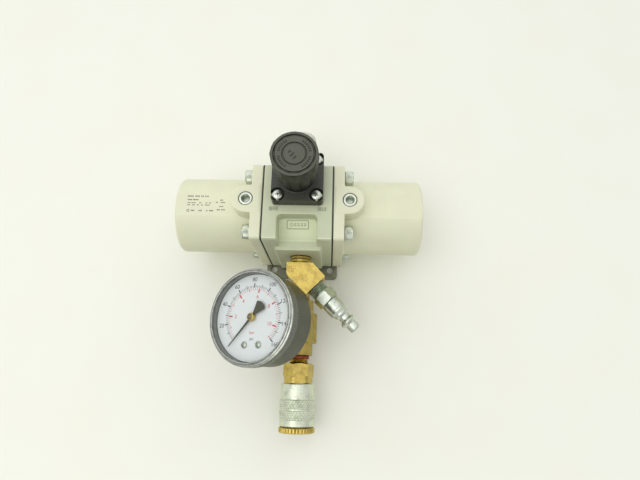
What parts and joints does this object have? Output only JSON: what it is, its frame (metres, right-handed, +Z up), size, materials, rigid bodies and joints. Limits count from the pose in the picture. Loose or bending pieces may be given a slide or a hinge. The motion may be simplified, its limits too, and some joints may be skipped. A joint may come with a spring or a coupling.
{
  "type": "air pressure regulator",
  "caption": "Twin-cylinder pressure-boosting air regulator on a foot bracket, with setting knob, dial gauge, brass fittings, inlet plug and outlet coupler.",
  "frame": {"origin": "on the mounting surface, straight under the cylinders' common axis and halfway between the two cylinders", "axes": "+X to the right along the cylinders, +Y to the rear (silencer side), +Z up (knob side); the ports, gauge and coupler point to -Y"},
  "size_m": [0.1726, 0.2232, 0.122],
  "materials": {
    "body_paint": "grey-green painted die casting, satin",
    "cover_paint": "ivory painted die casting, satin",
    "bracket": "dark zinc-plated sheet, satin",
    "zinc_steel": "bright zinc plate",
    "rubber": "black nitrile, matt",
    "black_plastic": "glass-filled black moulding, satin",
    "brass": "machined bar, lightly dulled",
    "bare_aluminium": "machined",
    "spring_steel": "oiled wire",
    "white_plastic": "sintered white plastic, matt",
    "gauge_black": "black enamel, glossy",
    "dial_white": "white enamelled sheet, matt",
    "clear_lens": "clear acrylic, polished"
  },
  "bodies": {
    "housing": {"center_body": "body_paint", "mounting_bracket": "bracket", "bracket_screw_1": "zinc_steel", "bracket_screw_2": "zinc_steel", "bracket_screw_3": "zinc_steel", "bracket_screw_4": "zinc_steel", "left_cylinder_cover": "cover_paint", "right_cylinder_cover": "cover_paint", "left_gasket": "rubber", "right_gasket": "rubber", "left_cover_screw_1": "zinc_steel", "left_cover_screw_2": "zinc_steel", "left_cover_screw_3": "zinc_steel", "left_cover_screw_4": "zinc_steel", "right_cover_screw_1": "zinc_steel", "right_cover_screw_2": "zinc_steel", "right_cover_screw_3": "zinc_steel", "right_cover_screw_4": "zinc_steel", "left_port_plug": "zinc_steel", "right_port_plug": "zinc_steel", "rod_bush": "brass", "bonnet": "black_plastic", "bonnet_screw_1": "zinc_steel", "bonnet_screw_2": "zinc_steel", "bonnet_screw_3": "zinc_steel", "bonnet_screw_4": "zinc_steel", "diaphragm": "rubber", "diaphragm_plate": "bare_aluminium", "pilot_seat": "brass", "inlet_elbow": "brass", "inlet_plug": "zinc_steel", "outlet_nipple": "brass", "outlet_tee": "brass", "coupler_body": "brass", "coupler_end_ring": "brass", "gauge_stem": "brass", "gauge_case": "gauge_black", "gauge_dial": "dial_white", "gauge_lens": "clear_lens", "dial_screw_1": "zinc_steel", "dial_screw_2": "zinc_steel", "bourdon_tube": "brass", "gauge_movement": "brass", "silencer_fitting": "white_plastic", "silencer_element": "white_plastic"},
    "pistons": {"piston_rod": "zinc_steel", "left_piston": "bare_aluminium", "right_piston": "bare_aluminium", "left_piston_seal": "rubber", "right_piston_seal": "rubber"},
    "changeover_valve": {"changeover_spool": "bare_aluminium"},
    "setting_screw": {"adjusting_screw": "zinc_steel"},
    "knob": {"pressure_knob": "black_plastic"},
    "nut": {"spring_nut": "brass", "setting_spring": "spring_steel"},
    "pilot": {"pilot_valve": "brass"},
    "pointer": {"gauge_pointer": "gauge_black"},
    "sleeve": {"coupler_sleeve": "zinc_steel"},
    "socket_valve": {"coupler_valve": "brass"}
  },
  "joints": [
    {"name": "piston_stroke", "type": "slide", "parent": "housing", "child": "pistons", "axis": [1, 0, 0], "range_m": [-0.017, 0.017]},
    {"name": "changeover", "type": "slide", "parent": "housing", "child": "changeover_valve", "axis": [1, 0, 0], "range_m": [-0.0013, 0.0013]},
    {"name": "screw_turn", "type": "hinge", "parent": "housing", "child": "setting_screw", "pos_m": [0, 0.0127, 0.1], "axis": [0, 0, 1], "range_deg": [-720, 720]},
    {"name": "knob_lock", "type": "slide", "parent": "setting_screw", "child": "knob", "axis": [0, 0, 1], "range_m": [0, 0.0025]},
    {"name": "nut_travel", "type": "slide", "parent": "housing", "child": "nut", "axis": [0, 0, 1], "range_m": [-0.0025, 0.0025], "deforming": ["setting_spring"]},
    {"name": "pilot_lift", "type": "slide", "parent": "housing", "child": "pilot", "axis": [0, 0, 1], "range_m": [-0.0012, 0], "stiffness_N_per_m": 400, "springref_m": 0.0004},
    {"name": "pointer_sweep", "type": "hinge", "parent": "housing", "child": "pointer", "pos_m": [0.001, -0.079, 0.02], "axis": [0.4258, 0, -0.9048], "range_deg": [0, 270], "stiffness_Nm_per_rad": 0.002},
    {"name": "sleeve_pull", "type": "slide", "parent": "housing", "child": "sleeve", "axis": [0, 1, 0], "range_m": [0, 0.0055], "stiffness_N_per_m": 900, "springref_m": -0.002},
    {"name": "socket_valve_push", "type": "slide", "parent": "housing", "child": "socket_valve", "axis": [0, 1, 0], "range_m": [0, 0.003], "stiffness_N_per_m": 500, "springref_m": -0.001}
  ],
  "couplings": [
    {"joint": "nut_travel", "follows": "screw_turn", "m_per_rad": 0.0001989}
  ]
}
